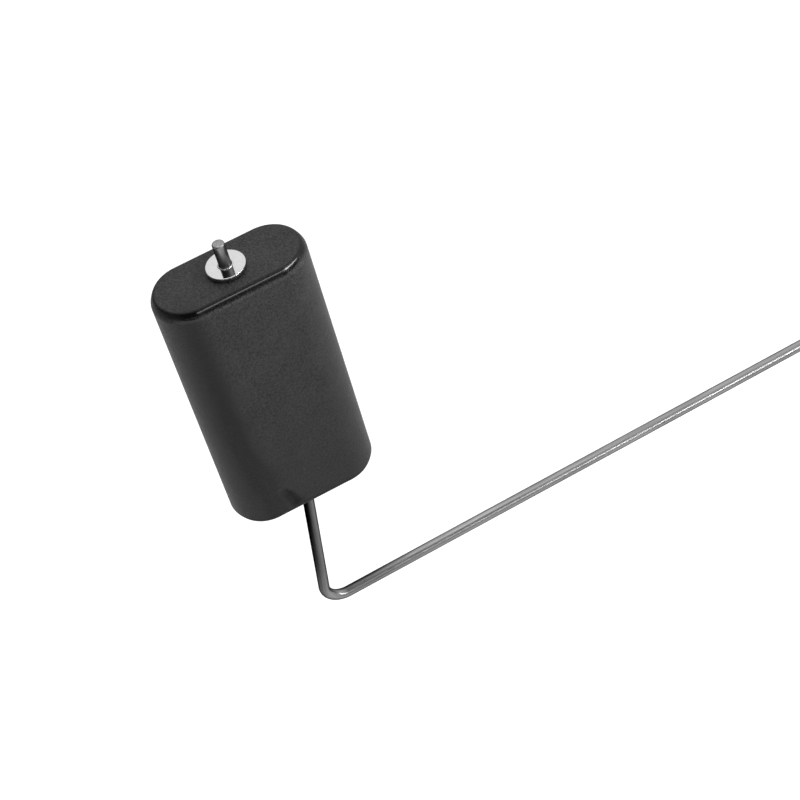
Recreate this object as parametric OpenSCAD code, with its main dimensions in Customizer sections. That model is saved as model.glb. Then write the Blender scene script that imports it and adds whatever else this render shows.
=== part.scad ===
// Swing-arm fuel level sender: a moulded float on a bent wire turns a wiper over a resistor card.
// The origin is on the arm's pivot axis, in the bracket's mounting plane. +Z runs along the pivot
// axis and along the float's wire, and +X from the float towards the pivot. Sizes in millimetres.

/* [Float] */
// Width of the float across its broad faces
float_w = 40; // [34:1:46]
// Thickness of the float
float_t = 19; // [16:0.5:24]
// Length of the float along its wire
float_l = 79; // [60:1:95]
// Radius of the moulded rims at both ends of the float
float_rim_r = 2; // [0.5:0.25:4]
// Radial play of the float on its wire
float_play = 0.08; // [0.02:0.01:0.1]

/* [Float washer] */
// Diameter of the push-on washer above the float
float_washer_d = 10; // [8:0.5:14]
// Thickness of the push-on washer
float_washer_t = 1.2; // [0.8:0.1:2]
// Chamfer of the push-on washer's rim
float_washer_chamfer = 0.25; // [0.1:0.05:0.35]

/* [Wire] */
// Diameter of the wire
wire_d = 3.1; // [2.5:0.1:3.2]
// Centre line radius of the wire's bends below the float
leg_bend_r = 6; // [4:0.25:8]
// Centre line radius of the wire's bend in the rotor
stub_bend_r = 3.5; // [3:0.25:5]
// Distance between the pivot axis and the float's axis
arm_reach = 205; // [160:5:260]
// Angle by which the arm climbs towards the pivot
arm_rise = 1.15; // [0:0.05:2]
// Gap between the pivot pin's end and the wire above it
arm_gap = 1.8; // [1:0.1:4]
// Length of the leg between the kink and the arm
leg_len = 47.7; // [35:0.1:60]
// Angle by which the leg leans away from the float's axis
leg_lean = 6.7; // [2:0.1:10]
// Height of the float's lower end above the kink
kink_drop = 4; // [2:0.25:8]
// Length of wire that stands above the push-on washer
tip_len = 7; // [4:0.25:10]
// Chamfer at both ends of the wire
wire_chamfer = 0.4; // [0.2:0.05:0.6]
// Radius that the wire loses where bending draws it thinner
bend_draw = 0.02; // [0.015:0.005:0.04]

/* [Bracket] */
// Thickness of the steel bracket
bracket_t = 1.5; // [1:0.1:2.5]
// Distance between the two mounting screws
screw_spacing = 64; // [58:1:80]
// Diameter of the mounting screw holes
screw_hole_d = 5.5; // [4.5:0.1:6.5]
// Width of the bracket's ears
ear_w = 16; // [14:0.5:20]
// Width of the bracket's plate under the housing
plate_w = 34; // [26:1:38]
// Reach of the bracket's plate from the pivot axis
plate_reach = 29; // [24:0.5:32]
// Corner cut of the bracket's plate
plate_corner = 3; // [1:0.5:5]

/* [Housing] */
// Thickness of the housing's floor
floor_t = 2; // [1.8:0.1:3]
// Radius of the housing's round end about the pivot
floor_r = 15; // [13.5:0.5:17]
// Thickness of the housing's rim
rim_t = 1.8; // [1.2:0.1:2.5]
// Height of the housing's rim above its floor
rim_h = 7; // [6.4:0.1:9]
// Distance from the pivot axis to the near end of the rim
rim_start = 4; // [2:0.5:6]
// Corner cut of the housing
housing_corner = 2; // [1:0.25:3]
// Radius of the two posts that stop the swing
stop_r = 1.5; // [1.2:0.1:2]
// Distance from the pivot axis to the stop posts
stop_reach = 11; // [10:0.25:12]
// Swing of the arm to each side of mid travel, in degrees
swing = 42; // [30:1:42]
// Width of the ridge that locates the card
ridge_w = 1.2; // [0.8:0.1:1.4]
// Width of the hooks that hold the card down
hook_w = 5; // [3:0.5:8]
// Reach of the hooks over the card
hook_reach = 0.9; // [0.5:0.1:1]
// Height of the hooks
hook_h = 1.6; // [1:0.1:2.5]

/* [Pivot] */
// Diameter of the pivot pin
pin_d = 4; // [3.5:0.1:4.5]
// Diameter of the pin's collar
collar_d = 7.2; // [6.5:0.1:8.5]
// Height of the pin's collar
collar_h = 1; // [0.9:0.1:1.5]
// Diameter of the pin's riveted end
stake_d = 6; // [5.4:0.1:7]
// Depth of the pin's riveted end
stake_h = 0.8; // [0.5:0.1:0.9]
// Length of the pin beyond its clip
pin_tail = 0.9; // [0.5:0.1:1.5]
// Depth of the pin's clip groove
groove_depth = 0.5; // [0.3:0.05:0.7]
// Chamfer of the pin's end
pin_chamfer = 0.3; // [0.1:0.05:0.45]
// Wall of the bush in the rotor
bush_wall = 1.2; // [0.8:0.1:1.5]
// Thickness of the thrust washer
thrust_t = 0.5; // [0.3:0.1:0.8]
// Diameter of the thrust washer
thrust_d = 8.4; // [7.5:0.1:10]
// Thickness of the retaining clip
clip_t = 0.6; // [0.4:0.1:0.8]
// Diameter of the retaining clip
clip_d = 7.6; // [7:0.1:8.5]

/* [Rotor] */
// Diameter of the rotor's hub
hub_d = 13; // [11.5:0.5:13.5]
// Height of the rotor's hub
hub_h = 8.5; // [7.5:0.1:11]
// Width of the rotor's bar
bar_w = 10; // [9:0.25:10.5]
// Length of the bar from the pivot axis towards the float
bar_front = 17; // [15:0.5:22]
// Length of the bar from the pivot axis to its tail
bar_tail = 13.5; // [13:0.1:14]
// Height of the bar's underside above the tracks
bar_lift = 2.2; // [2:0.1:2.6]
// Corner cut of the bar
bar_corner = 1.5; // [0.5:0.25:2]
// Length of the jaws that hold the wire
jaw_len = 7; // [5:0.25:8]
// Thickness of each jaw beside the wire
jaw_t = 2; // [1.5:0.1:2.8]
// Height of the jaws above the wire
jaw_lip = 0.6; // [0.4:0.1:1]
// Width of the mouth between the jaws
mouth_w = 2.3; // [2:0.1:2.4]
// Flare of the mouth on each side
mouth_flare = 0.8; // [0.4:0.1:1.2]
// Distance from the pivot axis to the wire's turned-down end
stub_reach = 9.5; // [9.2:0.1:9.9]
// Thickness of the bar below the wire's turned-down end
stub_floor = 1.2; // [0.8:0.1:2]

/* [Wiper] */
// Thickness of the wiper's spring strip
strip_t = 0.3; // [0.2:0.02:0.4]
// Width of the wiper's base
wiper_base_w = 9; // [8:0.25:9]
// Width of each wiper finger
finger_w = 2; // [1.8:0.1:2.4]
// Distance of each finger from the rotor's centre plane
finger_offset = 2.5; // [2:0.1:3]
// Length of the flat pad at each finger's end
pad_len = 2; // [1.9:0.1:2.4]
// Diameter of the contact buttons
contact_d = 1.7; // [1.2:0.1:1.8]
// Height of the contact buttons
contact_h = 0.6; // [0.4:0.05:0.7]
// Distance between the wiper's two rivets
wiper_rivet_spacing = 6; // [5.6:0.1:6.2]
// Distance from the pivot axis to the wiper's rivets
wiper_rivet_reach = 10.3; // [10:0.1:10.8]
// Diameter of the wiper rivets' shanks
wiper_rivet_d = 1.6; // [1.2:0.1:1.6]
// Length of the wiper rivets' shanks in the rotor
wiper_rivet_l = 2.5; // [1.5:0.1:3]
// Diameter of the wiper rivets' heads
wiper_rivet_head_d = 2.6; // [2:0.1:2.7]
// Height of the wiper rivets' heads
wiper_rivet_head_h = 0.5; // [0.3:0.1:0.7]

/* [Card] */
// Thickness of the ceramic card
card_t = 0.8; // [0.6:0.05:0.85]
// Radius of the resistor track's centre line
resistor_r = 22; // [21.5:0.25:22.5]
// Radius of the collector track's centre line
collector_r = 17; // [16.75:0.25:17.25]
// Width of both tracks
track_w = 2.4; // [2:0.1:2.8]
// Thickness of the fired films
film_t = 0.1; // [0.05:0.01:0.12]
// Width of the conductor lines
line_w = 1; // [0.6:0.1:1.2]
// Margin between the tracks and the card's edge
card_margin = 1.4; // [1.3:0.1:2]
// Distance by which the tracks run on past the contacts
track_overrun = 1; // [0.5:0.1:1.2]

/* [Terminals] */
// Width of the terminal tabs
tab_w = 4.8; // [4:0.1:6.3]
// Thickness of the terminal tabs
tab_t = 0.8; // [0.5:0.05:0.8]
// Length of the tabs beyond the housing
tab_out = 9; // [7:0.5:12]
// Distance between the two tabs
tab_spacing = 22; // [16:0.5:26]
// Corner cut at the tabs' ends
tab_corner = 1; // [0.5:0.1:1.4]
// Diameter of the latch hole in each tab
tab_hole_d = 1.6; // [1.2:0.1:2]
// Distance between the resistor track and the terminals
terminal_gap = 3; // [2.5:0.1:4]
// Distance from a terminal's inner end to its rivet
terminal_inset = 3; // [2.6:0.1:3.4]
// Distance from a terminal's rivet to the card's edge
terminal_edge = 3.5; // [3:0.1:5]
// Diameter of the terminal rivets' shanks
eyelet_d = 2.4; // [2:0.1:2.6]
// Wall of the hollow terminal rivets
eyelet_wall = 0.5; // [0.3:0.05:0.6]
// Diameter of the terminal rivets' flanges
eyelet_flange_d = 4; // [3.6:0.1:4.4]
// Thickness of the terminal rivets' flanges
eyelet_flange_t = 0.5; // [0.3:0.05:0.6]

/* [Housing rivets] */
// Gap between the housing rivets' heads and the walls beside them
housing_rivet_gap = 0.3; // [0.2:0.05:0.5]
// Diameter of the housing rivets' shanks
housing_rivet_d = 2.6; // [2:0.1:3]
// Diameter of the housing rivets' heads
housing_rivet_head_d = 4.2; // [3.6:0.1:4.4]
// Height of the housing rivets' heads
housing_rivet_head_h = 0.9; // [0.6:0.1:1.2]
// Depth of the housing rivets' countersinks
housing_rivet_sink_h = 0.6; // [0.4:0.1:0.8]

/* [Fits] */
// Radial clearance of the bush on the pivot pin
running_gap = 0.05; // [0.02:0.01:0.1]
// Radial clearance of pieces that are pressed or riveted together
press_gap = 0.01; // [0.01:0.01:0.02]
// Radial clearance of the wire in the rotor
wire_gap = 0.03; // [0.01:0.01:0.05]
// Clearance of pieces that drop into a place
drop_gap = 0.1; // [0.05:0.01:0.15]
// Gap on flat faces that turn past each other
end_play = 0.1; // [0.05:0.01:0.15]
// Gap between the contact buttons and their tracks
contact_gap = 0.05; // [0.02:0.01:0.08]

/* [Hidden] */
$fn = 64;

// Run of a cutter past the faces that it cuts
cut = 1;
// Run of a bend into the straights that it joins
bend_grip = 0.25;
// Steps in the quarter round of the float's rims
rim_steps = 8;
// Size of the relief bites in the retaining clip, as a share of its groove's radius
bite_share = 0.55;
// Width of the retaining clip's opening, as a share of its groove's diameter
clip_mouth_share = 0.84;

wire_r = wire_d / 2;
pin_r = pin_d / 2;
groove_r = pin_r - groove_depth;
bush_r = pin_r + running_gap + bush_wall;

// Heights of the head's stack above the mounting plane
floor_top = bracket_t + floor_t;
card_top = floor_top + card_t;
film_top = card_top + film_t;
collar_top = floor_top + collar_h;
hub_z = collar_top + end_play;
hub_top = hub_z + hub_h;
thrust_z = hub_top + end_play;
clip_z = thrust_z + thrust_t + press_gap;
pin_top = clip_z + clip_t + press_gap + pin_tail;
arm_z = pin_top + arm_gap + wire_r;
bar_z = film_top + bar_lift;
jaw_top = arm_z + wire_r + jaw_lip;

// Centre line of the wire in the plane y = 0, as [x, z]
corner_x = -arm_reach - leg_len * sin(leg_lean);
corner_z = arm_z + corner_x * tan(arm_rise);
kink_z = corner_z + leg_len * cos(leg_lean);
float_z = kink_z + kink_drop;
float_washer_z = float_z + float_l + end_play;
tip_z = float_washer_z + float_washer_t + tip_len;
wire_path = [
    [-arm_reach, tip_z],
    [-arm_reach, kink_z],
    [corner_x, corner_z],
    [stub_reach, arm_z + stub_reach * tan(arm_rise)],
    [stub_reach, bar_z + stub_floor],
];
// Radius of the wire at each point of its centre line
wire_bends = [0, leg_bend_r, leg_bend_r, stub_bend_r, 0];

// Places of the wiper's pieces on the rotor
wiper_z = bar_z - strip_t;
wiper_start = hub_d / 2 + drop_gap;
wiper_end = bar_tail - bar_corner;
pad_z = film_top + contact_gap + contact_h;
collector_x = sqrt(collector_r * collector_r - finger_offset * finger_offset);
resistor_x = sqrt(resistor_r * resistor_r - finger_offset * finger_offset);

// Angles of the tracks' ends, from the rotor's centre plane
collector_end = swing + atan2(finger_offset + contact_d / 2 + track_overrun, collector_x);
resistor_end = swing + atan2(finger_offset + contact_d / 2 + track_overrun, resistor_x);

// Edges of the card and of the housing around it
terminal_x = resistor_r + track_w / 2 + terminal_gap;
eyelet_x = terminal_x + terminal_inset;
card_x = (collector_r - track_w / 2) * cos(collector_end) - card_margin;
card_end = eyelet_x + terminal_edge;
card_half = (resistor_r + track_w / 2) * sin(resistor_end) + card_margin;
rim_x = card_end + drop_gap;
rim_y = card_half + drop_gap;
housing_end = rim_x + rim_t;
housing_half = rim_y + rim_t;

// Edge of the ridge beside the card, and places of the housing's rivets
ridge_x = card_x - drop_gap - ridge_w;
housing_rivet_x = ridge_x - housing_rivet_gap - housing_rivet_head_d / 2;
housing_rivet_spacing = 2 * (rim_y - housing_rivet_gap) - housing_rivet_head_d;

// Angle of the stop posts from the bar's mid position
stop_angle = swing + asin((bar_w / 2 + stop_r + end_play) / stop_reach);

// Unit vector at an angle
function heading(a) = [cos(a), sin(a)];
// Direction from one point to another, in degrees
function bearing(p, q) = atan2(q[1] - p[1], q[0] - p[0]);
// Signed turn of the wire at an inner point of its centre line, in degrees
function turn(i) =
    let (t = bearing(wire_path[i], wire_path[i + 1]) - bearing(wire_path[i - 1], wire_path[i]))
    t > 180 ? t - 360 : t <= -180 ? t + 360 : t;
// Length that a bend takes from each straight beside it
function bend_run(i) = wire_bends[i] == 0 ? 0 : wire_bends[i] * tan(abs(turn(i)) / 2);

// Box from one corner to the opposite one
module block(low, high) {
    translate(low)
        cube(high - low);
}

// Rectangle with its four corners cut off, from one corner to the opposite one
module cut_rectangle(low, high, corner) {
    polygon([
        [low[0] + corner, low[1]], [high[0] - corner, low[1]],
        [high[0], low[1] + corner], [high[0], high[1] - corner],
        [high[0] - corner, high[1]], [low[0] + corner, high[1]],
        [low[0], high[1] - corner], [low[0], low[1] + corner],
    ]);
}

// Part of a flat ring about the pivot axis
module arc_band(radius, width, thickness, from, to) {
    rotate(from)
        rotate_extrude(angle = to - from)
            translate([radius - width / 2, 0])
                square([width, thickness]);
}

// Places its children once on each side of the centre plane
module both_sides(x, spacing) {
    for (side = [-1, 1])
        translate([x, side * spacing / 2, 0])
            children();
}

// Round rod with a chamfer at its far end, from the origin along +X
module chamfered_rod(radius, length, chamfer) {
    rotate([0, 90, 0]) {
        cylinder(h = length - chamfer, r = radius);
        translate([0, 0, length - chamfer])
            cylinder(h = chamfer, r1 = radius, r2 = radius - chamfer);
    }
}

// Bend of the wire at an inner point of its centre line, which runs a little into both straights
module bend(i) {
    t = turn(i);
    bend_r = wire_bends[i];
    arrive = bearing(wire_path[i - 1], wire_path[i]);
    side = t > 0 ? 1 : -1;
    start = wire_path[i] - bend_run(i) * heading(arrive);
    centre = start + bend_r * heading(arrive + side * 90);
    grip = asin(bend_grip / bend_r);
    translate(centre)
        rotate(arrive - side * 90 + min(t, 0) - grip)
            rotate_extrude(angle = abs(t) + 2 * grip)
                translate([bend_r, 0])
                    circle(r = wire_r - bend_draw);
}

// Straight of the wire between two points of its centre line, less what the bends take
module straight(i) {
    from = wire_path[i];
    run = norm(wire_path[i + 1] - from) - bend_run(i) - bend_run(i + 1);
    first = i == 0;
    last = i == len(wire_path) - 2;
    way = bearing(from, wire_path[i + 1]) + (first ? 180 : 0);
    start = first ? from + run * heading(way + 180) : from + bend_run(i) * heading(way);
    translate(start)
        rotate(way)
            if (first || last)
                chamfered_rod(wire_r, run, wire_chamfer);
            else
                rotate([0, 90, 0])
                    cylinder(h = run, r = wire_r);
}

// Section through half of the float: square at the axis and rounded at the outer rims
module float_half_section(half_width) {
    polygon(concat(
        [[0, 0]],
        [for (i = [0:rim_steps]) [half_width - float_rim_r, float_rim_r]
            + float_rim_r * heading(-90 + 90 * i / rim_steps)],
        [for (i = [0:rim_steps]) [half_width - float_rim_r, float_l - float_rim_r]
            + float_rim_r * heading(90 * i / rim_steps)],
        [[0, float_l]]
    ));
}

module mounting_bracket() {
    color("silver")
        difference() {
            union() {
                linear_extrude(bracket_t)
                    union() {
                        translate([-ear_w / 2, -screw_spacing / 2])
                            square([ear_w, screw_spacing]);
                        cut_rectangle([0, -plate_w / 2], [plate_reach, plate_w / 2], plate_corner);
                    }
                for (side = [-1, 1])
                    translate([0, side * screw_spacing / 2, 0])
                        rotate(side > 0 ? 0 : 180)
                            rotate_extrude(angle = 180)
                                square([ear_w / 2, bracket_t]);
            }
            both_sides(0, screw_spacing)
                translate([0, 0, -cut])
                    cylinder(h = bracket_t + 2 * cut, d = screw_hole_d);
            translate([0, 0, -cut])
                cylinder(h = bracket_t + 2 * cut, r = pin_r + press_gap);
            cylinder(h = stake_h, r1 = stake_d / 2 + press_gap, r2 = pin_r + press_gap);
            both_sides(housing_rivet_x, housing_rivet_spacing) {
                translate([0, 0, -cut])
                    cylinder(h = bracket_t + 2 * cut, r = housing_rivet_d / 2 + press_gap);
                cylinder(
                    h = housing_rivet_sink_h,
                    r1 = housing_rivet_head_d / 2 + press_gap,
                    r2 = housing_rivet_d / 2 + press_gap
                );
            }
        }
}

module sender_housing() {
    color("#33353a") {
        difference() {
            union() {
                translate([0, 0, bracket_t])
                    linear_extrude(floor_t) {
                        cut_rectangle([0, -housing_half], [housing_end, housing_half], housing_corner);
                        circle(r = floor_r);
                    }
                translate([0, 0, floor_top])
                    linear_extrude(rim_h)
                        difference() {
                            cut_rectangle([0, -housing_half], [housing_end, housing_half], housing_corner);
                            translate([-cut, -rim_y])
                                square([rim_x + cut, 2 * rim_y]);
                            translate([-cut, -housing_half - cut])
                                square([rim_start + cut, 2 * (housing_half + cut)]);
                        }
            }
            translate([0, 0, bracket_t - cut])
                cylinder(h = floor_t + 2 * cut, r = pin_r + press_gap);
            both_sides(housing_rivet_x, housing_rivet_spacing)
                translate([0, 0, bracket_t - cut])
                    cylinder(h = floor_t + 2 * cut, r = housing_rivet_d / 2 + press_gap);
            both_sides(eyelet_x, tab_spacing)
                translate([0, 0, floor_top - eyelet_flange_t - drop_gap])
                    cylinder(
                        h = eyelet_flange_t + drop_gap + cut,
                        r = eyelet_flange_d / 2 + drop_gap
                    );
            both_sides(rim_x, tab_spacing)
                translate([-cut, -tab_w / 2 - drop_gap, film_top - drop_gap])
                    cube([rim_t + 2 * cut, tab_w + 2 * drop_gap, tab_t + 2 * drop_gap]);
        }
        for (side = [-1, 1])
            rotate(180 + side * stop_angle)
                translate([stop_reach, 0, floor_top])
                    cylinder(h = hub_top - floor_top, r = stop_r);
        block(
            [ridge_x, -card_half, floor_top],
            [card_x - drop_gap, card_half, card_top]
        );
        for (side = [-1, 1])
            translate([(card_x + card_end + hook_w) / 2, 0, film_top + press_gap])
                rotate([90, 0, -90])
                    linear_extrude(hook_w)
                        polygon([
                            [side * rim_y, 0],
                            [side * (card_half - hook_reach), 0],
                            [side * (card_half - hook_reach), hook_h / 2],
                            [side * rim_y, hook_h],
                        ]);
    }
}

module housing_rivets() {
    color("silver")
        both_sides(housing_rivet_x, housing_rivet_spacing) {
            cylinder(
                h = housing_rivet_sink_h,
                r1 = housing_rivet_head_d / 2,
                r2 = housing_rivet_d / 2
            );
            translate([0, 0, housing_rivet_sink_h])
                cylinder(h = floor_top - housing_rivet_sink_h, d = housing_rivet_d);
            translate([0, 0, floor_top])
                cylinder(
                    h = housing_rivet_head_h,
                    r1 = housing_rivet_head_d / 2,
                    r2 = housing_rivet_d / 2
                );
        }
}

module resistor_card() {
    color("ivory")
        difference() {
            block([card_x, -card_half, floor_top], [card_end, card_half, card_top]);
            both_sides(eyelet_x, tab_spacing)
                translate([0, 0, floor_top - cut])
                    cylinder(h = card_t + 2 * cut, r = eyelet_d / 2 + press_gap);
        }
}

// Conductor lines and pad that join one track's end to its terminal
module track_lead(side, radius, end) {
    foot_x = radius * cos(end);
    edge_y = card_half - card_margin / 2;
    foot = [foot_x - line_w / 2, radius * sin(end) - line_w];
    mirror([0, side < 0 ? 1 : 0, 0])
        translate([0, 0, card_top]) {
            block(
                concat(foot, [0]),
                [foot_x + line_w / 2, edge_y + line_w / 2, film_t]
            );
            block(
                [foot_x - line_w / 2, edge_y - line_w / 2, 0],
                [eyelet_x + line_w / 2, edge_y + line_w / 2, film_t]
            );
            block(
                [eyelet_x - line_w / 2, tab_spacing / 2, 0],
                [eyelet_x + line_w / 2, edge_y, film_t]
            );
            block(
                [terminal_x - line_w / 2, (tab_spacing - tab_w - line_w) / 2, 0],
                [eyelet_x + terminal_inset, (tab_spacing + tab_w + line_w) / 2, film_t]
            );
        }
}

module resistor_track() {
    color("#1f2124")
        difference() {
            translate([0, 0, card_top])
                arc_band(resistor_r, track_w, film_t, -resistor_end, swing);
            track_lead(-1, resistor_r, resistor_end);
        }
}

module conductor_film() {
    color("#a9a59a")
        difference() {
            union() {
                translate([0, 0, card_top])
                    arc_band(collector_r, track_w, film_t, -swing, collector_end);
                track_lead(1, collector_r, collector_end);
                track_lead(-1, resistor_r, resistor_end);
            }
            both_sides(eyelet_x, tab_spacing)
                translate([0, 0, card_top - cut])
                    cylinder(h = film_t + 2 * cut, r = eyelet_d / 2 + press_gap);
        }
}

// Blade terminal that lies on its pad and stands out through the rim
module terminal() {
    end = housing_end + tab_out;
    color("#c8c3b4")
        translate([0, 0, film_top])
            difference() {
                linear_extrude(tab_t)
                    polygon([
                        [terminal_x, -tab_w / 2],
                        [end - tab_corner, -tab_w / 2],
                        [end, -tab_w / 2 + tab_corner],
                        [end, tab_w / 2 - tab_corner],
                        [end - tab_corner, tab_w / 2],
                        [terminal_x, tab_w / 2],
                    ]);
                translate([eyelet_x, 0, -cut])
                    cylinder(h = tab_t + 2 * cut, r = eyelet_d / 2 + press_gap);
                translate([housing_end + tab_out / 2, 0, -cut])
                    cylinder(h = tab_t + 2 * cut, d = tab_hole_d);
            }
}

module signal_terminal() {
    translate([0, tab_spacing / 2, 0])
        terminal();
}

module ground_terminal() {
    translate([0, -tab_spacing / 2, 0])
        terminal();
}

module terminal_rivets() {
    color("#b59a5b")
        both_sides(eyelet_x, tab_spacing)
            rotate_extrude()
                polygon([
                    [eyelet_d / 2 - eyelet_wall, floor_top - eyelet_flange_t],
                    [eyelet_flange_d / 2, floor_top - eyelet_flange_t],
                    [eyelet_flange_d / 2, floor_top],
                    [eyelet_d / 2, floor_top],
                    [eyelet_d / 2, film_top + tab_t],
                    [eyelet_flange_d / 2, film_top + tab_t],
                    [eyelet_flange_d / 2, film_top + tab_t + eyelet_flange_t / 2],
                    [eyelet_d / 2, film_top + tab_t + eyelet_flange_t],
                    [eyelet_d / 2 - eyelet_wall, film_top + tab_t + eyelet_flange_t],
                ]);
}

module pivot_pin() {
    color("#b9bcc0")
        rotate_extrude()
            polygon([
                [0, 0],
                [stake_d / 2, 0],
                [pin_r, stake_h],
                [pin_r, floor_top],
                [collar_d / 2, floor_top],
                [collar_d / 2, collar_top],
                [pin_r, collar_top],
                [pin_r, clip_z - press_gap],
                [groove_r, clip_z - press_gap],
                [groove_r, clip_z + clip_t + press_gap],
                [pin_r, clip_z + clip_t + press_gap],
                [pin_r, pin_top - pin_chamfer],
                [pin_r - pin_chamfer, pin_top],
                [0, pin_top],
            ]);
}

module thrust_washer() {
    color("silver")
        translate([0, 0, thrust_z])
            difference() {
                cylinder(h = thrust_t, d = thrust_d);
                translate([0, 0, -cut])
                    cylinder(h = thrust_t + 2 * cut, r = pin_r + running_gap);
            }
}

module retaining_clip() {
    mouth = 2 * groove_r * clip_mouth_share;
    color("#6f7378")
        translate([0, 0, clip_z])
            linear_extrude(clip_t)
                difference() {
                    circle(d = clip_d);
                    circle(r = groove_r + press_gap);
                    translate([0, -mouth / 2])
                        square([clip_d, mouth]);
                    for (angle = [120, 240])
                        rotate(angle)
                            translate([groove_r, 0])
                                circle(r = groove_r * bite_share);
                }
}

// Places its children in the wire's own frame, with +X along the arm and the origin above the pivot
module along_arm() {
    translate([0, 0, arm_z])
        rotate([0, -arm_rise, 0])
            children();
}

module arm_rotor() {
    jaw_w = wire_d + 2 * (wire_gap + jaw_t);
    color("#e6e2d6")
        difference() {
            union() {
                translate([0, 0, hub_z])
                    cylinder(h = hub_h, d = hub_d);
                translate([0, 0, bar_z])
                    linear_extrude(hub_top - bar_z)
                        cut_rectangle([-bar_front, -bar_w / 2], [bar_tail, bar_w / 2], bar_corner);
                block(
                    [-bar_front + bar_corner, -jaw_w / 2, bar_z],
                    [-bar_front + bar_corner + jaw_len, jaw_w / 2, jaw_top]
                );
            }
            translate([0, 0, hub_z - cut])
                cylinder(h = hub_h + 2 * cut, r = bush_r + press_gap);
            along_arm()
                translate([-bar_front - cut, 0, 0])
                    rotate([0, 90, 0])
                        cylinder(h = bar_front, r = wire_r + wire_gap);
            block(
                [-bar_front - cut, -mouth_w / 2, arm_z],
                [0, mouth_w / 2, jaw_top + cut]
            );
            translate([-bar_front - cut, 0, jaw_top])
                rotate([90, 0, 90])
                    linear_extrude(bar_front)
                        polygon([
                            [-mouth_w / 2 - mouth_flare, 0],
                            [0, -mouth_w / 2 - mouth_flare],
                            [mouth_w / 2 + mouth_flare, 0],
                            [mouth_w / 2 + mouth_flare, cut],
                            [-mouth_w / 2 - mouth_flare, cut],
                        ]);
            translate([stub_reach, 0, bar_z + stub_floor - press_gap])
                cylinder(h = hub_h, r = wire_r + wire_gap);
            both_sides(wiper_rivet_reach, wiper_rivet_spacing)
                translate([0, 0, bar_z - cut])
                    cylinder(h = wiper_rivet_l + cut, r = wiper_rivet_d / 2 + press_gap);
        }
}

module pivot_bush() {
    color("#c2a25a")
        translate([0, 0, hub_z])
            difference() {
                cylinder(h = hub_h, r = bush_r);
                translate([0, 0, -cut])
                    cylinder(h = hub_h + 2 * cut, r = pin_r + running_gap);
            }
}

// Finger of the wiper from the base's edge down to a flat pad over a track
module finger(pad_x) {
    translate([0, finger_w / 2, 0])
        rotate([90, 0, 0])
            linear_extrude(finger_w)
                polygon([
                    [wiper_start, wiper_z],
                    [wiper_end, wiper_z],
                    [pad_x - pad_len / 2, pad_z],
                    [pad_x + pad_len / 2, pad_z],
                    [pad_x + pad_len / 2, pad_z + strip_t],
                    [pad_x - pad_len / 2, pad_z + strip_t],
                    [wiper_end, bar_z],
                    [wiper_start, bar_z],
                ]);
}

module wiper_spring() {
    color("#c79a5a")
        difference() {
            union() {
                block(
                    [wiper_start, -wiper_base_w / 2, wiper_z],
                    [wiper_end, wiper_base_w / 2, bar_z]
                );
                translate([0, finger_offset, 0])
                    finger(collector_x);
                translate([0, -finger_offset, 0])
                    finger(resistor_x);
            }
            both_sides(wiper_rivet_reach, wiper_rivet_spacing)
                translate([0, 0, wiper_z - cut])
                    cylinder(h = strip_t + 2 * cut, r = wiper_rivet_d / 2 + press_gap);
        }
}

module wiper_contacts() {
    color("#d8d4c8")
        for (place = [[collector_x, finger_offset], [resistor_x, -finger_offset]])
            translate([place[0], place[1], film_top + contact_gap])
                cylinder(h = contact_h, d = contact_d);
}

module wiper_rivets() {
    color("#b59a5b")
        both_sides(wiper_rivet_reach, wiper_rivet_spacing) {
            translate([0, 0, wiper_z])
                cylinder(h = strip_t + wiper_rivet_l, d = wiper_rivet_d);
            translate([0, 0, wiper_z - wiper_rivet_head_h])
                cylinder(
                    h = wiper_rivet_head_h,
                    r1 = wiper_rivet_d / 2,
                    r2 = wiper_rivet_head_d / 2
                );
        }
}

module float_arm() {
    color("#c9ccd0")
        rotate([90, 0, 0]) {
            for (i = [0:len(wire_path) - 2])
                straight(i);
            for (i = [1:len(wire_path) - 2])
                bend(i);
        }
}

module float_washer() {
    radius = float_washer_d / 2;
    color("#dfe1e4")
        translate([-arm_reach, 0, float_washer_z])
            difference() {
                union() {
                    cylinder(h = float_washer_t - float_washer_chamfer, r = radius);
                    translate([0, 0, float_washer_t - float_washer_chamfer])
                        cylinder(
                            h = float_washer_chamfer,
                            r1 = radius,
                            r2 = radius - float_washer_chamfer
                        );
                }
                translate([0, 0, -cut])
                    cylinder(h = float_washer_t + 2 * cut, r = wire_r + press_gap);
            }
}

module float_body() {
    straight_w = float_w - float_t;
    color("#2b2d30")
        translate([-arm_reach, 0, float_z])
            difference() {
                union() {
                    translate([-straight_w / 2, 0, 0])
                        rotate([90, 0, 90])
                            linear_extrude(straight_w)
                                union() {
                                    float_half_section(float_t / 2);
                                    mirror([1, 0])
                                        float_half_section(float_t / 2);
                                }
                    for (side = [-1, 1])
                        translate([side * straight_w / 2, 0, 0])
                            rotate(-side * 90)
                                rotate_extrude(angle = 180)
                                    float_half_section(float_t / 2);
                }
                translate([0, 0, -cut])
                    cylinder(h = float_l + 2 * cut, r = wire_r + float_play);
            }
}

mounting_bracket();
sender_housing();
housing_rivets();
resistor_card();
resistor_track();
conductor_film();
signal_terminal();
ground_terminal();
terminal_rivets();
pivot_pin();
thrust_washer();
retaining_clip();
arm_rotor();
pivot_bush();
wiper_spring();
wiper_contacts();
wiper_rivets();
float_arm();
float_washer();
float_body();
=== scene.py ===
import math

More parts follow.
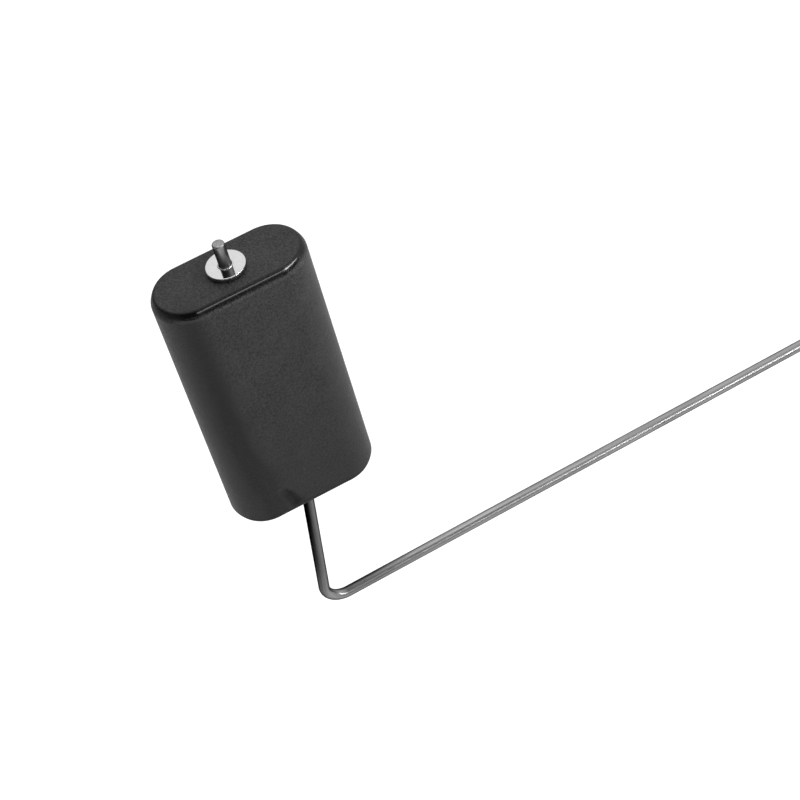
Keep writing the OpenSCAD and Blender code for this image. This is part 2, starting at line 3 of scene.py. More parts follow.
import bmesh
import bpy
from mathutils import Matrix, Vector


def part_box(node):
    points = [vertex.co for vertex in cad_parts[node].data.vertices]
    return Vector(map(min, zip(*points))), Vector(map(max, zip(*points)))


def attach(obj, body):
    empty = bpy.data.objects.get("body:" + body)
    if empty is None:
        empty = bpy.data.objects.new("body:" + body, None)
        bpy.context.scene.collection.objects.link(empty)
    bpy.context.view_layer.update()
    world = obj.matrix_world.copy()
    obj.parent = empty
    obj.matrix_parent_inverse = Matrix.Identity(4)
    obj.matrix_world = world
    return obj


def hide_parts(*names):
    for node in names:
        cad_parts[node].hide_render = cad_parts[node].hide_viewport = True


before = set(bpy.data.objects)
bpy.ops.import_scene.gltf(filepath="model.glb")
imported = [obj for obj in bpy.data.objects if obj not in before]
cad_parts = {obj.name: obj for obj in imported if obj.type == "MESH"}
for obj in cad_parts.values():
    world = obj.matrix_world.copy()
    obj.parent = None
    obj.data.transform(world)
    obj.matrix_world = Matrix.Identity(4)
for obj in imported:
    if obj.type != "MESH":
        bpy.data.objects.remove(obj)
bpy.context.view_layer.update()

MM = 0.001

# The camera, placed from the middle of the float
LENS_MM = 99.7
SENSOR_MM = 36.0
CLIP_START = 0.01
CAMERA_FROM_FLOAT = Vector((-65.25, -381.1, 394.09)) * MM
CAMERA_TURN_DEG = (41.625, 11.234, -26.569)

# The wire in millimetres: its centre line as x and z, the radius of each bend, and its section
WIRE_PATH = ((-205, 153.017), (-205, 61.717), (-210.565, 14.343), (9.5, 18.761), (9.5, 7.8))
WIRE_BENDS = (6, 6, 3.5)
WIRE_R = 1.55
WIRE_END_R = 0.4
WIRE_STEP = 4
WIRE_SIDES = 48
BEND_STEPS = 28
END_STEPS = 5

# The wire's metal
WIRE_COLOR = (0.22, 0.22, 0.2225)
WIRE_EDGE_TINT = (0.05, 0.05, 0.05, 1)
WIRE_ROUGH = (0.27, 0.40)
WIRE_TONE = (0.65, 1)
WIRE_BRIGHTEST = 1.25

# Painted shade on the leg, for its dark reflections and the float's shadow, by height and by how far its
# side faces away from the head
LEG_PAINTED_SHADE = ((18, 0), (19, 0.35), (32, 0.85), (50, 1), (100, 1), (120, 0))
LEG_SIDES = ((-0.556, 0.25), (0.556, 0.95))

# Painted shade on the arm next to its foot by x, and by how far its side faces the dark upper edge
ARM_PAINTED_SHADE = ((-195, 1), (-178, 0))
ARM_EDGES = ((-0.95, 0.5), (-0.71, 0.2), (0.439, 0.2), (0.75, 0.9))
ARM_EDGE_Y = 0.72
ARM_EDGE_Z = 0.69

# The float's rim as arcs, from and to in degrees with a radius in millimetres, and its bore
FLOAT_RIM_ARCS = ((0, 60, 1.0), (60, 70, 9.6), (70, 90, 2.0))
FLOAT_PLAY = 0.08
FLOAT_BORE_R = (WIRE_R + FLOAT_PLAY) * MM
FLOAT_BORE_EDGE = 0.35 * MM
FLOAT_BORE_DEPTH = 4 * FLOAT_BORE_EDGE
BORE_STEPS = 3
ARC_STEPS = 48
STRAIGHT_STEPS = 64
RIM_STEPS = 8
SIDE_STEPS = 180
FACE_STEPS = 12

# Marks painted on the float's front, in millimetres from its middle as x and z: start, end, depth and
# width, then the darkness at the start and at the end. The first two paint shade in and past a shallow
# dent near the foot;
# the rest paint shade and a dark reflection down the left front.
FLOAT_DENT_AND_SHADE = (
    (Vector((-8.2, -28.5)), Vector((-4.6, -36.8)), 1.10, 1.2, 0.6, 1.0),
    (Vector((-4.6, -36.8)), Vector((-3.6, -39.0)), 0.0, 1.6, 1.0, 1.0),
    (Vector((-11.4, -25.0)), Vector((-10.4, -38.5)), 0.0, 2.1, 0.9, 1.0),
    (Vector((-14.6, -8.0)), Vector((-11.4, -25.0)), 0.0, 3.4, 0.9, 0.9),
    (Vector((-14.9, 39.5)), Vector((-14.6, -8.0)), 0.0, 4.0, 0.85, 0.9),
)

# Painted shade and painted reflections round the foam's rims, by degrees from the end face, which are
# below zero at the bottom rim. A darkness below zero paints a line lighter than the faces.
RIM_PAINTED_SHADING = (
    (-90, 0.5), (-60, 1), (0, 0), (10, 0.4), (28, 0.8), (45, 1),
    (64, 1), (67, 0.3), (69, -0.3), (75, -0.3), (90, 0),
)
# Gloss of the rims by the same degrees. A gloss below zero is duller than the faces.
RIM_GLOSS = ((-90, 0), (-75, -1), (-1, -1), (0, 0), (30, 0), (50, 1), (72, 1), (90, 0))
# Share of that gloss by how far a place faces the front, and how much painted shade darkens the float's
# foot
FRONT_GLOSS = ((0.4, 0), (0.7, 1))
FOOT_PAINTED_SHADE = 0.65

# The float's foam and the skin on its rims. Noise scales are per metre.
FOAM_COLOR = (0.024, 0.024, 0.0244)
FOAM_SPECULAR = 0.2
FOAM_ROUGH = (0.42, 0.58)
FOAM_TINT = (0.06, 1.95)
FOAM_COARSE = 1500
FOAM_FINE = 3600
FOAM_CLOUDS = 130
FOAM_COARSE_SHARE = 0.4
FOAM_CLOUD_SHARE = 0.2
FOAM_RELIEF = 0.2 * MM
RIM_SMOOTHNESS = 0.92
RIM_POLISH = 0.30
RIM_COAT = 0.62
RIM_COAT_ROUGH = 0.1

# The push-on washer's colour and, in millimetres, its rounded edges and its lip
WASHER_COLOR = (0.455, 0.455, 0.46)
WASHER_EDGE_R = 0.25
WASHER_LIP_R = 0.2
WASHER_SUPPORT = 0.03
WASHER_HOLE_R = 1.56
WASHER_SIDES = 128
EDGE_STEPS = 6

# The welding of doubled points, and the rounding of the head's edges
WELD = 0.001 * MM
FLAT_ANGLE = math.radians(0.5)
SHARP_ANGLE = math.radians(38)
EDGE_SEGMENTS = 2
LARGE_FACES_FIRST = 100

# Colours that several pieces share, and noise with no stretch
TINNED = (0.52, 0.50, 0.45)
BRASS = (0.72, 0.55, 0.27)
EVEN = (1, 1, 1)

# The studio in metres: a pale floor, and a sky that is bright on one side
FLOOR_DROP = 0.30
FLOOR_SIZE = 30.0
FLOOR_COLOR = 0.62
FLOOR_ROUGH = 0.9
FLOOR_SPECULAR = 0.1
FLOOR_GLOW = 0.52
SKY_AXIS = (0.45, 0.42, 0.79)
SKY_EDGES = (0.25, 0.92)
SKY_LOW = 0.05
SKY_HIGH = 1.58
WHITE = (1, 1, 1, 1)

# Soft boxes in metres: name, place from the middle of the float, width and height, and watts
SOFT_BOXES = (
    ("overhead", Vector((-0.05, 0.10, 1.2)), (0.5, 0.5), 1.6),
    ("key", Vector((0.68, -0.73, 0.35)), (0.85, 0.13), 8.8),
    ("strip", Vector((0.17, -1.00, 0.35)), (0.62, 0.12), 1.05),
)


def node_at(tree, kind, **values):
    """Adds a shader node, sets its properties and its inputs by name, and returns it."""
    node = tree.nodes.new(kind)
    for key, value in values.items():
        if hasattr(node, key):
            setattr(node, key, value)
        else:
            node.inputs[key.replace("_", " ")].default_value = value
    return node


def link(tree, source, output, target, socket):
    """Joins one node's output to another node's input."""
    tree.links.new(source.outputs[output], target.inputs[socket])


class Material:
    """A node-based material around one Principled shader, with helpers for procedural detail."""

    def __init__(self, name, color, metallic=0.0):
        self.material = bpy.data.materials.new(name)
        self.material.use_nodes = True
        self.tree = self.material.node_tree
        self.shader = self.tree.nodes["Principled BSDF"]
        self.color = color
        self.shader.inputs["Metallic"].default_value = metallic
        self.place = node_at(self.tree, "ShaderNodeTexCoord")
        self.height = None

    def noise(self, scale, detail=4.0, roughness=0.6, stretch=EVEN, turned=(0, 0, 0)):
        """Noise in the object's own space, stretched along its axes and turned."""
        mapping = node_at(self.tree, "ShaderNodeMapping", Scale=stretch, Rotation=turned)
        link(self.tree, self.place, "Object", mapping, "Vector")
        return self.noise_along(mapping, scale, detail, roughness)

    def noise_along(self, mapping, scale, detail=4.0, roughness=0.6):
        """Noise in the space that a mapping node gives."""
        noise = node_at(self.tree, "ShaderNodeTexNoise", Scale=scale, Detail=detail, Roughness=roughness)
        link(self.tree, mapping, "Vector", noise, "Vector")
        return noise.outputs["Fac"]

    def spread(self, value, low, high, start=0.3, end=0.7):
        """A value of 0 to 1 mapped to a wanted range."""
        ramp = node_at(
            self.tree, "ShaderNodeMapRange", From_Min=start, From_Max=end, To_Min=low, To_Max=high
        )
        self.tree.links.new(value, ramp.inputs["Value"])
        return ramp.outputs["Result"]

    def math(self, operation, first, second):
        """Two values joined by a sum, product, maximum or the like."""
        node = node_at(self.tree, "ShaderNodeMath", operation=operation)
        for index, value in enumerate((first, second)):
            if isinstance(value, (int, float)):
                node.inputs[index].default_value = value
            else:
                self.tree.links.new(value, node.inputs[index])
        return node.outputs["Value"]

    def attribute(self, name):
        """A value that the mesh carries at each point."""
        return node_at(self.tree, "ShaderNodeAttribute", attribute_name=name).outputs["Fac"]

    def tint(self, value, dark, light):
        """Base colour between two shares of the material's own colour."""
        mix = node_at(self.tree, "ShaderNodeMix", data_type="RGBA")
        mix.inputs["A"].default_value = (*(part * dark for part in self.color), 1)
        mix.inputs["B"].default_value = (*(part * light for part in self.color), 1)
        self.tree.links.new(value, mix.inputs["Factor"])
        self.tree.links.new(mix.outputs["Result"], self.shader.inputs["Base Color"])

    def gloss(self, value):
        """Roughness from a value."""
        self.tree.links.new(value, self.shader.inputs["Roughness"])

    def coat(self, value, roughness):
        """A clear coat with its weight from a value."""
        self.tree.links.new(value, self.shader.inputs["Coat Weight"])
        self.shader.inputs["Coat Roughness"].default_value = roughness

    def bump(self, value, depth, strength):
        """Surface relief of a depth in metres, on top of any relief set before."""
        bump = node_at(self.tree, "ShaderNodeBump", Distance=depth, Strength=strength)
        self.tree.links.new(value, bump.inputs["Height"])
        if self.height is not None:
            self.tree.links.new(self.height, bump.inputs["Normal"])
        self.height = bump.outputs["Normal"]
        self.tree.links.new(self.height, self.shader.inputs["Normal"])


def foam_skin():
    """Moulded black foam: fine matt grain on the faces, glossier rims, and painted shade and painted
    reflections from the mesh.
    """
    skin = Material("float_foam_skin", FOAM_COLOR)
    skin.shader.inputs["Specular IOR Level"].default_value = FOAM_SPECULAR
    rim = skin.attribute("rim")
    glossy = skin.math("MAXIMUM", rim, 0.0)
    # One minus the mesh's painted shade and painted reflections, which scales the foam's base colour
    light = skin.math("SUBTRACT", 1.0, skin.attribute("painted_shading"))
    coarse = skin.noise(FOAM_COARSE, detail=2, turned=(0.6, 0.4, 0.8))
    fine = skin.noise(FOAM_FINE, detail=2, turned=(0.9, 0.2, 0.5))
    clouds = skin.noise(FOAM_CLOUDS, detail=3, turned=(0.3, 0.7, 0.2))
    coarse_part = skin.math("MULTIPLY", coarse, FOAM_COARSE_SHARE)
    fine_part = skin.math("MULTIPLY", fine, 1 - FOAM_COARSE_SHARE)
    grain = skin.math("ADD", coarse_part, fine_part)

    speck = skin.spread(grain, 0, 1 - FOAM_CLOUD_SHARE, start=0.40, end=0.60)
    tone = skin.math("ADD", speck, skin.spread(clouds, 0, FOAM_CLOUD_SHARE))
    skin.tint(skin.math("MULTIPLY", tone, light), *FOAM_TINT)

    face_gloss = skin.spread(grain, *FOAM_ROUGH, start=0.38, end=0.62)
    skin.gloss(skin.math("SUBTRACT", face_gloss, skin.math("MULTIPLY", rim, RIM_POLISH)))
    skin.coat(skin.math("MULTIPLY", glossy, RIM_COAT), RIM_COAT_ROUGH)

    rough_part = skin.math("SUBTRACT", 1.0, skin.math("MULTIPLY", glossy, RIM_SMOOTHNESS))
    skin.bump(skin.math("MULTIPLY", grain, rough_part), FOAM_RELIEF, strength=0.8)
    return skin.material


def drawn_wire(lines=(60, 1600, 1600), clouds=260, pits=1400, depth=0.02 * MM, pit_depth=0.01 * MM):
    """Dark drawn wire: fine lines along its run, slightly cloudy gloss, and painted shade from the mesh.
    """
    metal = Material("drawn_wire", WIRE_COLOR, 1.0)
    metal.shader.inputs["Specular Tint"].default_value = WIRE_EDGE_TINT
    run = node_at(metal.tree, "ShaderNodeAttribute", attribute_name="drawn")
    mapping = node_at(metal.tree, "ShaderNodeMapping", Scale=lines)
    link(metal.tree, run, "Vector", mapping, "Vector")
    streak = metal.noise_along(mapping, 1.0)
    # One minus the mesh's painted shade, which darkens the wire's base colour
    unshaded = metal.math("SUBTRACT", 1.0, metal.attribute("painted_shade"))
    metal.gloss(metal.spread(metal.noise(clouds), *WIRE_ROUGH))
    tone = metal.math("MULTIPLY", metal.spread(streak, *WIRE_TONE), unshaded)
    metal.tint(tone, dark=0.0, light=WIRE_BRIGHTEST)
    metal.bump(streak, depth, strength=0.5)
    metal.bump(metal.noise(pits, detail=3), pit_depth, strength=0.4)
    return metal.material


def polished_steel(name, color, rough=(0.06, 0.14), haze=500, clouds=900, marks=700, depth=0.012 * MM):
    """Polished sheet metal with faint handling marks."""
    metal = Material(name, color, 1.0)
    metal.gloss(metal.spread(metal.noise(haze, detail=5), *rough))
    metal.tint(metal.noise(clouds), dark=0.86, light=1.1)
    metal.bump(metal.noise(marks, detail=2), depth, strength=0.6)
    return metal.material


def rolled_metal(name, color, rough=(0.28, 0.42), stretch=EVEN, grain=1500, haze=260, depth=0.01 * MM):
    """Rolled, plated or turned metal with a fine grain along one axis."""
    metal = Material(name, color, 1.0)
    lines = metal.noise(grain, stretch=stretch)
    metal.gloss(metal.spread(metal.noise(haze, detail=5), *rough))
    metal.tint(lines, dark=0.86, light=1.08)
    metal.bump(lines, depth, strength=0.6)
    return metal.material


def moulded_plastic(name, color, rough=(0.4, 0.52), grain=2200, haze=180, clouds=120, depth=0.03 * MM):
    """Moulded plastic with a faint eroded texture."""
    plastic = Material(name, color)
    plastic.gloss(plastic.spread(plastic.noise(haze), *rough))
    plastic.tint(plastic.noise(clouds, detail=5), dark=0.88, light=1.12)
    plastic.bump(plastic.noise(grain, detail=3), depth, strength=0.5)
    return plastic.material


def fired_ceramic(name, color, rough=(0.4, 0.55), grain=1800, haze=400, depth=0.015 * MM):
    """Ceramic card or fired ink: fine pressed grain."""
    body = Material(name, color)
    body.gloss(body.spread(body.noise(haze), *rough))
    body.tint(body.noise(grain, detail=5), dark=0.9, light=1.06)
    body.bump(body.noise(grain, detail=3), depth, strength=0.6)
    return body.material


NODE_FINISHES = {
    "mounting_bracket": lambda: rolled_metal("zinc_bracket", (0.44, 0.45, 0.46), stretch=(8, 1, 8)),
    "sender_housing": lambda: moulded_plastic("black_housing", (0.022, 0.022, 0.024)),
    "housing_rivets": lambda: rolled_metal("zinc_rivets", (0.48, 0.49, 0.50)),
    "resistor_card": lambda: fired_ceramic("card_ceramic", (0.78, 0.77, 0.73)),
    "resistor_track": lambda: fired_ceramic("resistor_ink", (0.025, 0.025, 0.027), (0.25, 0.35)),
    "conductor_film": lambda: rolled_metal("conductor_ink", TINNED, (0.4, 0.55)),
    "signal_terminal": lambda: rolled_metal("tinned_signal", TINNED, stretch=(1, 8, 8)),
    "ground_terminal": lambda: rolled_metal("tinned_ground", TINNED, stretch=(1, 8, 8)),
    "terminal_rivets": lambda: rolled_metal("brass_eyelets", BRASS),
    "pivot_pin": lambda: rolled_metal("turned_pin", (0.60, 0.60, 0.62), (0.18, 0.3), (1, 1, 14)),
    "thrust_washer": lambda: rolled_metal("turned_washer", (0.62, 0.62, 0.63), (0.22, 0.32)),
    "retaining_clip": lambda: rolled_metal("dark_clip", (0.20, 0.20, 0.22), (0.3, 0.42)),
    "arm_rotor": lambda: moulded_plastic("natural_rotor", (0.72, 0.69, 0.60)),
    "pivot_bush": lambda: rolled_metal("brass_bush", (0.70, 0.53, 0.25), (0.25, 0.35)),
    "wiper_spring": lambda: rolled_metal("bronze_spring", (0.74, 0.48, 0.26), (0.22, 0.32), (1, 10, 10)),
    "wiper_contacts": lambda: polished_steel("contact_buttons", (0.80, 0.79, 0.76)),
    "wiper_rivets": lambda: rolled_metal("brass_wiper_rivets", BRASS),
}


# Nodes shown with rounded edges: rounding in millimetres, piece name, slot and body
SOFT_EDGES = {
    "mounting_bracket": (0.2, "stamped_bracket", "zinc_steel", "head"),
    "sender_housing": (0.3, "moulded_housing", "black_plastic", "head"),
    "arm_rotor": (0.35, "moulded_rotor", "natural_plastic", "arm"),
    "signal_terminal": (0.12, "signal_tab", "tinned_brass", "head"),
    "ground_terminal": (0.12, "ground_tab", "tinned_brass", "head"),
}


def place_piece(piece, node, body):
    """Puts a finished piece in place of its CAD node and the body that it rides on."""
    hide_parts(node)
    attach(piece, body)


def mesh_object(name, mesh):
    """An object with smooth faces from a bmesh."""
    data = bpy.data.meshes.new(name)
    mesh.to_mesh(data)
    mesh.free()
    data.shade_smooth()
    piece = bpy.data.objects.new(name, data)
    bpy.context.scene.collection.objects.link(piece)
    return piece


def finish_nodes():
    """Gives each CAD node that stays in view its own material."""
    for name, make in NODE_FINISHES.items():
        if name in SOFT_EDGES:
            continue
        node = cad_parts[name]
        node.data.materials.clear()
        node.data.materials.append(make())


def soften_node(name):
    """A copy of a CAD node with finely rounded edges, as moulding, stamping or tumbling leaves them."""
    width, piece_name, slot, body = SOFT_EDGES[name]
    mesh = bmesh.new()
    mesh.from_mesh(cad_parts[name].data)
    bmesh.ops.remove_doubles(mesh, verts=mesh.verts, dist=WELD)
    bmesh.ops.dissolve_limit(mesh, angle_limit=FLAT_ANGLE, verts=mesh.verts, edges=mesh.edges)
    shape = mesh_object(piece_name + "_shape", mesh)
    rounding = shape.modifiers.new("edges", "BEVEL")
    rounding.width = width * MM
    rounding.segments = EDGE_SEGMENTS
    rounding.limit_method = "ANGLE"
    rounding.angle_limit = SHARP_ANGLE
    evening = shape.modifiers.new("normals", "WEIGHTED_NORMAL")
    evening.weight = LARGE_FACES_FIRST
    shaped = shape.evaluated_get(bpy.context.evaluated_depsgraph_get())
    data = bpy.data.meshes.new_from_object(shaped)
    bpy.data.objects.remove(shape)
    piece = bpy.data.objects.new(piece_name, data)
    bpy.context.scene.collection.objects.link(piece)
    data.materials.clear()
    data.materials.append(NODE_FINISHES[name]())
    place_piece(piece, name, body)


def between(table, place):
    """A value read from a table of places and values, along straight lines between its entries."""
    for (start, low), (end, high) in zip(table, table[1:]):
        if place <= end:
            return low + (high - low) * max(0.0, place - start) / (end - start)
    return table[-1][1]


def join_loops(mesh, loops):
    """Faces between each loop of points and the next, which has as many."""
    for lower, upper in zip(loops, loops[1:]):
        count = len(lower)
        for index in range(count):
            after = (index + 1) % count
            mesh.faces.new((lower[index], lower[after], upper[after], upper[index]))


def stadium(straight, radius):
    """Points of a flat oval about the origin, anticlockwise, from its right end's lowest point."""
    points = []
    for side in (1, -1):
        for step in range(ARC_STEPS):
            angle = math.radians(-90 + 180 * step / ARC_STEPS)
            points.append((side * (straight + radius * math.cos(angle)), side * radius * math.sin(angle)))
        for step in range(STRAIGHT_STEPS):
            share = 1 - 2 * step / STRAIGHT_STEPS
            points.append((side * straight * share, side * radius))
    return points


def float_dent_and_shade(x, z):
    """Depth of the dent, and darkness of the painted shade, at a place on the float's front."""
    depth = 0.0
    dark = 0.0
    place = Vector((x, z)) / MM
    for start, end, deep, width, first_tone, last_tone in FLOAT_DENT_AND_SHADE:
        run = end - start
        share = max(0.0, min(1.0, (place - start).dot(run) / run.length_squared))
        away = (place - start - run * share).length
        strength = math.exp(-(away / width) ** 2)
        depth += deep * math.sin(math.pi * share) * strength
        dark = max(dark, (first_tone + (last_tone - first_tone) * share) * strength)
    return depth * MM, dark


def foam_gloss_and_shading(turn, front, height, painted_shading):
    """Gloss of the foam's skin, and its painted shade and painted reflections, by the rim's turn, the
    facing, the height and the marks.
    """
    gloss = between(RIM_GLOSS, turn)
    if gloss > 0:
        gloss *= between(FRONT_GLOSS, front)
    # Painted shade and painted reflections on the rims; below zero they paint a lighter line
    skin = between(RIM_PAINTED_SHADING, turn)
    # Painted shade of the front marks, and painted shade darkening towards the foot
    dark = painted_shading * front + FOOT_PAINTED_SHADE * (0.5 - height)
    dark = max(dark, skin) if skin > 0 else dark + skin * front
    return gloss, dark


def rim_section():
    """Places along the rim's section: how far out and down, and the angle its face has turned to."""
    section = []
    out, down = 0.0, 0.0
    for first, last, radius in FLOAT_RIM_ARCS:
        first_angle = math.radians(first)
        for step in range(1, RIM_STEPS + 1):
            angle = math.radians(first + (last - first) * step / RIM_STEPS)
            across = out + radius * (math.sin(angle) - math.sin(first_angle))
            drop = down + radius * (math.cos(first_angle) - math.cos(angle))
            section.append((across * MM, drop * MM, math.degrees(angle)))
        out, down = across, drop
    return section


def float_end(z, up, straight, radius):
    """One end's rings from the bore outwards: straight half, radius, height and turn of the rim."""
    section = rim_section()
    inner = radius - section[-1][0]
    rings = [(0.0, FLOAT_BORE_R, z - up * FLOAT_BORE_DEPTH, 0.0)]
    for step in range(BORE_STEPS + 1):
        angle = math.radians(90 * step / BORE_STEPS)
        reach = FLOAT_BORE_R + FLOAT_BORE_EDGE * (1 - math.cos(angle))
        rings.append((0.0, reach, z - up * FLOAT_BORE_EDGE * (1 - math.sin(angle)), 0.0))
    start = FLOAT_BORE_R + FLOAT_BORE_EDGE
    for step in range(1, FACE_STEPS + 1):
        share = step / FACE_STEPS
        rings.append((straight * share, start + (inner - start) * share, z, 0.0))
    for out, down, turn in section:
        rings.append((straight, inner + out, z - up * down, up * turn))
    return rings


def float_rings(length, straight, radius):
    """The float's rings from the bottom of its bore over its outside to the top of its bore."""
    rim_down = rim_section()[-1][1]
    side = length - 2 * rim_down
    rings = float_end(-length / 2, -1, straight, radius)
    for step in range(1, SIDE_STEPS):
        rings.append((straight, radius, -length / 2 + rim_down + side * step / SIDE_STEPS, 0.0))
    rings.extend(reversed(float_end(length / 2, 1, straight, radius)))
    return rings


def build_float():
    """The moulded float as one closed skin: faces, rounded rims and the bore for the wire."""
    low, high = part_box("float_body")
    centre = (low + high) / 2
    length = high.z - low.z
    radius = (high.y - low.y) / 2
    straight = (high.x - low.x) / 2 - radius

    mesh = bmesh.new()
    rim_layer = mesh.verts.layers.float.new("rim")
    shading_layer = mesh.verts.layers.float.new("painted_shading")
    loops = []
    for ring_straight, ring_radius, z, turn in float_rings(length, straight, radius):
        loop = []
        for x, y in stadium(ring_straight, ring_radius):
            front = (min(y, 0.0) / radius) ** 2
            depth, painted_shading = float_dent_and_shade(x, z)
            vertex = mesh.verts.new(centre + Vector((x, y + depth * front, z)))
            # The second value is painted shade and painted reflections, which darken or lighten the
            # foam's colour
            vertex[rim_layer], vertex[shading_layer] = foam_gloss_and_shading(turn, front, z / length, painted_shading)
            loop.append(vertex)
        loops.append(loop)
    join_loops(mesh, loops + loops[:1])
    bmesh.ops.remove_doubles(mesh, verts=mesh.verts, dist=WELD)
    bmesh.ops.recalc_face_normals(mesh, faces=mesh.faces)
    return mesh_object("float_skin", mesh)


def dress_float():
    """The float's detailed skin in place of its plain solid."""
    piece = build_float()
    piece.data.materials.append(foam_skin())
    place_piece(piece, "float_body", "float")


def washer_profile(radius, thickness):
    """The washer's section as radius and height: rounded outer edges, and a lip around the hole."""
    edge = WASHER_EDGE_R
    lip = WASHER_LIP_R
    profile = [(WASHER_HOLE_R, edge), (WASHER_HOLE_R + edge, 0)]
    for corner, start in ((edge, -90), (thickness - edge, 0)):
        for step in range(EDGE_STEPS + 1):
            angle = math.radians(start + 90 * step / EDGE_STEPS)
            profile.append((radius - edge + edge * math.cos(angle), corner + edge * math.sin(angle)))
    profile.append((radius - edge - WASHER_SUPPORT, thickness))
    profile.append((WASHER_HOLE_R + 2 * lip + WASHER_SUPPORT, thickness))
    for step in range(2 * EDGE_STEPS + 1):
        angle = math.radians(90 * step / EDGE_STEPS)
        reach = WASHER_HOLE_R + lip + lip * math.cos(angle)
        profile.append((reach, thickness + lip * math.sin(angle)))
    return profile


def turned_mesh(profile, sides, axis):
    """A closed solid of revolution from a profile of radius and height, about an upright axis."""
    mesh = bmesh.new()
    loops = []
    for radius, height in profile:
        loop = []
        for side in range(sides):
            angle = 2 * math.pi * side / sides
            place = Vector((radius * math.cos(angle), radius * math.sin(angle), height))
            loop.append(mesh.verts.new(axis + place * MM))
        loops.append(loop)
    join_loops(mesh, loops + loops[:1])
    bmesh.ops.recalc_face_normals(mesh, faces=mesh.faces)
    return mesh


def dress_washer():
    """The push-on washer with rounded edges and a small lip around its hole."""
    low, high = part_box("float_washer")
    middle = (low + high) / 2
    axis = Vector((middle.x, middle.y, low.z))
    profile = washer_profile((high.x - low.x) / 2 / MM, (high.z - low.z) / MM)
    piece = mesh_object("push_on_washer", turned_mesh(profile, WASHER_SIDES, axis))
    piece.data.materials.append(polished_steel("washer_polish", WASHER_COLOR))
    place_piece(piece, "float_washer", "arm")


def bend_line(point, arrive, leave, radius):
    """Places and headings along a rounded bend at a corner of the wire."""
    turn = arrive.angle_signed(leave)
    start = point - arrive * radius * math.tan(abs(turn) / 2)
    inward = Vector((arrive.y, -arrive.x)) * math.copysign(radius, turn)
    bend = []
    for step in range(BEND_STEPS + 1):
        swing = -turn * step / BEND_STEPS
        cosine, sine = math.cos(swing), math.sin(swing)
        spoke = Vector((-inward.x * cosine + inward.y * sine, -inward.x * sine - inward.y * cosine))
        way = Vector((arrive.x * cosine - arrive.y * sine, arrive.x * sine + arrive.y * cosine))
        bend.append((start + inward + spoke, way))
    return bend


def wire_line():
    """The wire's centre line as places and headings, with its bends rounded."""
    points = [Vector(point) for point in WIRE_PATH]
    ways = [(end - start).normalized() for start, end in zip(points, points[1:])]
    line = [(points[0], ways[0])]
    for index in range(1, len(points) - 1):
        line.extend(bend_line(points[index], ways[index - 1], ways[index], WIRE_BENDS[index - 1]))
    line.append((points[-1], ways[-1]))
    return filled_line(line)


def filled_line(line):
    """The same line with places added along its straight runs."""
    filled = [line[0]]
    for (start, _), (end, way) in zip(line, line[1:]):
        count = math.ceil((end - start).length / WIRE_STEP)
        for step in range(1, count):
            filled.append((start.lerp(end, step / count), (end - start).normalized()))
        filled.append((end, way))
    return filled


def wire_end(place, way, inward):
    """Rings of the wire's softly broken end, from its full section to its face."""
    rings = []
    for step in range(END_STEPS + 1):
        angle = math.radians(90 * step / END_STEPS)
        inset = WIRE_END_R * (1 - math.sin(angle))
        rings.append((place + inward * inset, way, WIRE_R - WIRE_END_R * (1 - math.cos(angle))))
    return rings


def wire_rings():
    """Rings along the wire from its tip to its inner end: place, heading and radius."""
    line = wire_line()
    tip, tip_way = line[0]
    end, end_way = line[-1]
    rings = wire_end(tip, tip_way, tip_way)[::-1]
    rings.extend((place, way, WIRE_R) for place, way in line[1:-1])
    rings.extend(wire_end(end, end_way, -end_way))
    return rings


def wire_painted_shade(place, way, facing):
    """Painted shade on the wire's surface at a place, for a side that faces a given way."""
    leg = between(LEG_PAINTED_SHADE, place.y) * between(LEG_SIDES, -facing.x)
    edge = ARM_EDGE_Y * facing.y + ARM_EDGE_Z * facing.z
    arm = between(ARM_PAINTED_SHADE, place.x) * max(0.0, way.x) * between(ARM_EDGES, edge)
    return max(leg, arm)


def build_wire():
    """The bent wire, swept as one smooth skin that carries its run and its painted shade."""
    rings = wire_rings()
    mesh = bmesh.new()
    drawn = mesh.verts.layers.float_vector.new("drawn")
    painted_shade = mesh.verts.layers.float.new("painted_shade")
    loops = []
    run = 0.0
    before = rings[0][0]
    for place, way, radius in rings:
        run += (place - before).length
        before = place
        loop = []
        for side in range(WIRE_SIDES):
            angle = 2 * math.pi * side / WIRE_SIDES
            cosine, sine = math.cos(angle), math.sin(angle)
            facing = Vector((way.y * cosine, sine, -way.x * cosine))
            vertex = mesh.verts.new((Vector((place.x, 0, place.y)) + facing * radius) * MM)
            vertex[drawn] = Vector((run, radius * cosine, radius * sine)) * MM
            # Painted shade on the leg, and on the arm next to its foot
            vertex[painted_shade] = wire_painted_shade(place, way, facing)
            loop.append(vertex)
        loops.append(loop)
    join_loops(mesh, loops)
    mesh.faces.new(loops[0])
    mesh.faces.new(loops[-1])
    bmesh.ops.recalc_face_normals(mesh, faces=mesh.faces)
    return mesh_object("drawn_wire_arm", mesh)


def dress_wire():
    """The wire's smooth skin in place of its plain solid."""
    piece = build_wire()
    piece.data.materials.append(drawn_wire())
    place_piece(piece, "float_arm", "arm")


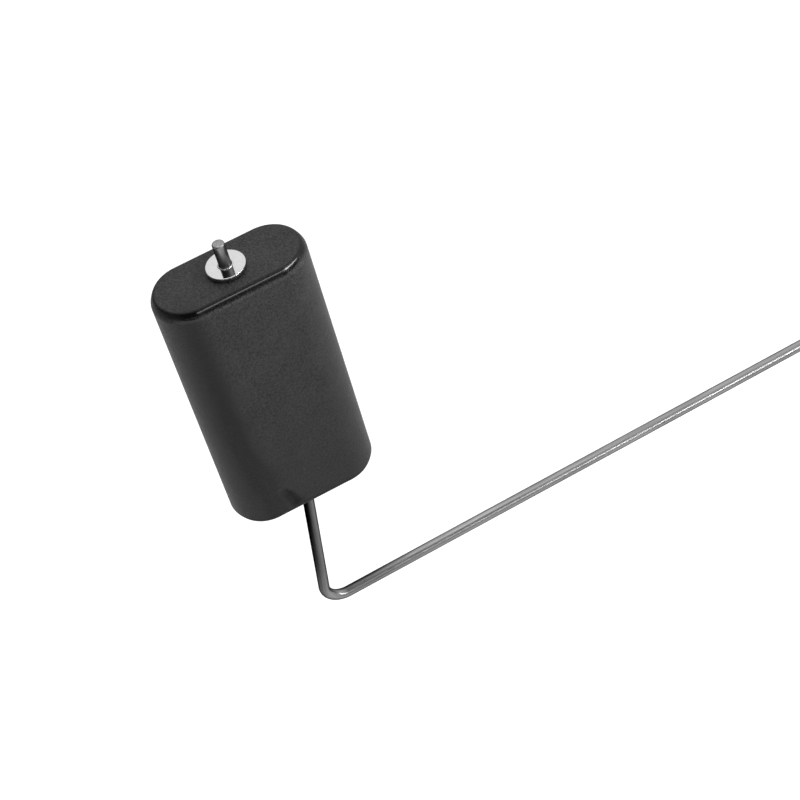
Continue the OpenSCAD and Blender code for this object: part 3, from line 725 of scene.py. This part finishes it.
def studio_world():
    """A broad soft light from above and behind, which fades towards the camera's side."""
    world = bpy.data.worlds.new("studio")
    bpy.context.scene.world = world
    world.use_nodes = True
    tree = world.node_tree
    sky = tree.nodes["Background"]
    sky.inputs["Color"].default_value = WHITE
    place = node_at(tree, "ShaderNodeTexCoord")
    along = node_at(tree, "ShaderNodeVectorMath", operation="DOT_PRODUCT")
    along.inputs[1].default_value = Vector(SKY_AXIS).normalized()
    link(tree, place, "Generated", along, 0)
    ramp = node_at(
        tree, "ShaderNodeMapRange", interpolation_type="SMOOTHSTEP",
        From_Min=SKY_EDGES[0], From_Max=SKY_EDGES[1], To_Min=SKY_LOW, To_Max=SKY_HIGH,
    )
    link(tree, along, "Value", ramp, "Value")
    link(tree, ramp, "Result", sky, "Strength")


def floor_glow(tree):
    """A white glow that shows to the camera, in gloss and through glass, and lights nothing matt."""
    rays = node_at(tree, "ShaderNodeLightPath")
    seen = rays.outputs["Is Camera Ray"]
    for kind in ("Is Glossy Ray", "Is Transmission Ray"):
        either = node_at(tree, "ShaderNodeMath", operation="MAXIMUM")
        tree.links.new(seen, either.inputs[0])
        link(tree, rays, kind, either, 1)
        seen = either.outputs["Value"]
    scale = node_at(tree, "ShaderNodeMath", operation="MULTIPLY")
    scale.inputs[1].default_value = FLOOR_GLOW
    tree.links.new(seen, scale.inputs[0])
    glow = node_at(tree, "ShaderNodeEmission")
    link(tree, scale, "Value", glow, "Strength")
    return glow


def pale_floor():
    """A plain pale floor well below the part, which shows white and keeps soft shadows."""
    mesh = bmesh.new()
    bmesh.ops.create_grid(mesh, x_segments=1, y_segments=1, size=FLOOR_SIZE / 2)
    floor = mesh_object("floor", mesh)
    floor.location = (0, 0, -FLOOR_DROP)
    material = bpy.data.materials.new("pale_floor")
    material.use_nodes = True
    tree = material.node_tree
    surface = tree.nodes["Principled BSDF"]
    surface.inputs["Base Color"].default_value = (FLOOR_COLOR, FLOOR_COLOR, FLOOR_COLOR, 1)
    surface.inputs["Roughness"].default_value = FLOOR_ROUGH
    surface.inputs["Specular IOR Level"].default_value = FLOOR_SPECULAR
    both = node_at(tree, "ShaderNodeAddShader")
    link(tree, surface, "BSDF", both, 0)
    link(tree, floor_glow(tree), "Emission", both, 1)
    link(tree, both, "Shader", tree.nodes["Material Output"], "Surface")
    floor.data.materials.append(material)


def soft_box(name, place, target, size, watts):
    """A soft box of a width and height that looks at a point."""
    data = bpy.data.lights.new(name, "AREA")
    data.shape = "RECTANGLE"
    data.size, data.size_y = size
    data.energy = watts
    light = bpy.data.objects.new(name, data)
    light.location = place
    light.rotation_euler = (target - place).to_track_quat("-Z", "Y").to_euler()
    bpy.context.scene.collection.objects.link(light)


def studio_lights():
    """A soft box overhead, a long low one at the right, and a faint one in front."""
    low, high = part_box("float_body")
    centre = (low + high) / 2
    for name, offset, size, watts in SOFT_BOXES:
        soft_box(name, centre + offset, centre, size, watts)


def photo_camera():
    """The camera at the photograph's place and angle."""
    low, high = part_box("float_body")
    data = bpy.data.cameras.new("photo_camera")
    data.lens = LENS_MM
    data.sensor_width = SENSOR_MM
    data.clip_start = CLIP_START
    camera = bpy.data.objects.new("photo_camera", data)
    camera.location = (low + high) / 2 + CAMERA_FROM_FLOAT
    camera.rotation_euler = [math.radians(angle) for angle in CAMERA_TURN_DEG]
    bpy.context.scene.collection.objects.link(camera)
    bpy.context.scene.camera = camera


photo_camera()
studio_world()
pale_floor()
studio_lights()
finish_nodes()
for node_name in SOFT_EDGES:
    soften_node(node_name)
dress_float()
dress_washer()
dress_wire()

bpy.context.scene.view_settings.view_transform = "Standard"
